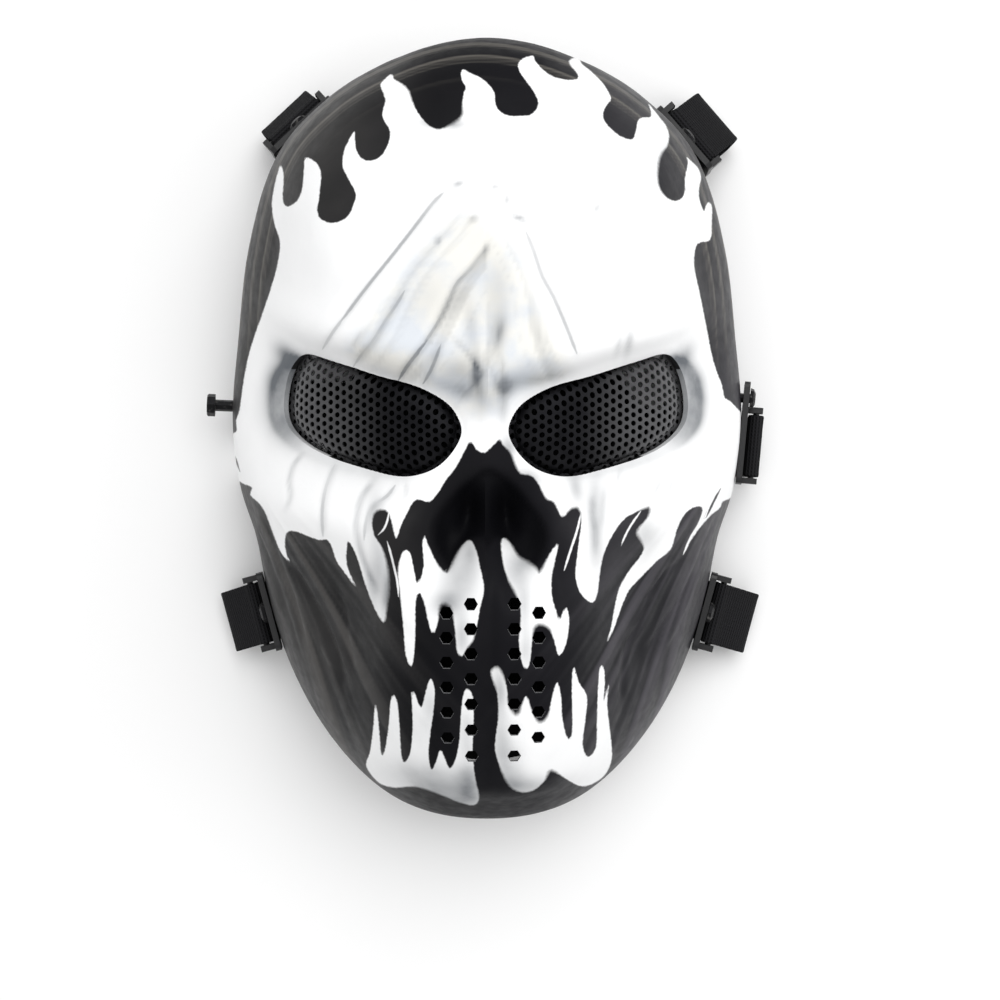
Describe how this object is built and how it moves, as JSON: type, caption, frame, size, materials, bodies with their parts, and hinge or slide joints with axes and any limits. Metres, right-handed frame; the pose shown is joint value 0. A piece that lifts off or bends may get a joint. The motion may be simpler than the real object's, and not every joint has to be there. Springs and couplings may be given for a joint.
{
  "type": "skull mask",
  "caption": "Full-face moulded skull mask with drip-painted shell, domed perforated eye screens, mouth vents and elastic head straps.",
  "frame": {"origin": "on the surface that the mask's rim rests on, under the middle of the whole mask with its hardware", "axes": "+Z out of the face, +Y to the crown, +X to the right of someone who looks at the face"},
  "size_m": [0.2165, 0.2897, 0.1113],
  "materials": {
    "shell": "white paint with black drips, satin",
    "screen": "black painted perforated steel",
    "bracket": "satin black",
    "hardware": "blackened steel",
    "webbing": "woven elastic"
  },
  "bodies": {
    "root": {"shell": "shell", "eye_screen_left": "screen", "eye_screen_right": "screen", "upper_left_bracket": "bracket", "upper_right_bracket": "bracket", "middle_right_bracket": "bracket", "lower_left_bracket": "bracket", "lower_right_bracket": "bracket", "upper_left_screw": "hardware", "upper_right_screw": "hardware", "middle_right_screw": "hardware", "lower_left_screw": "hardware", "lower_right_screw": "hardware", "middle_left_stud": "hardware", "upper_strap": "webbing", "middle_strap": "webbing", "lower_strap": "webbing"}
  },
  "joints": []
}
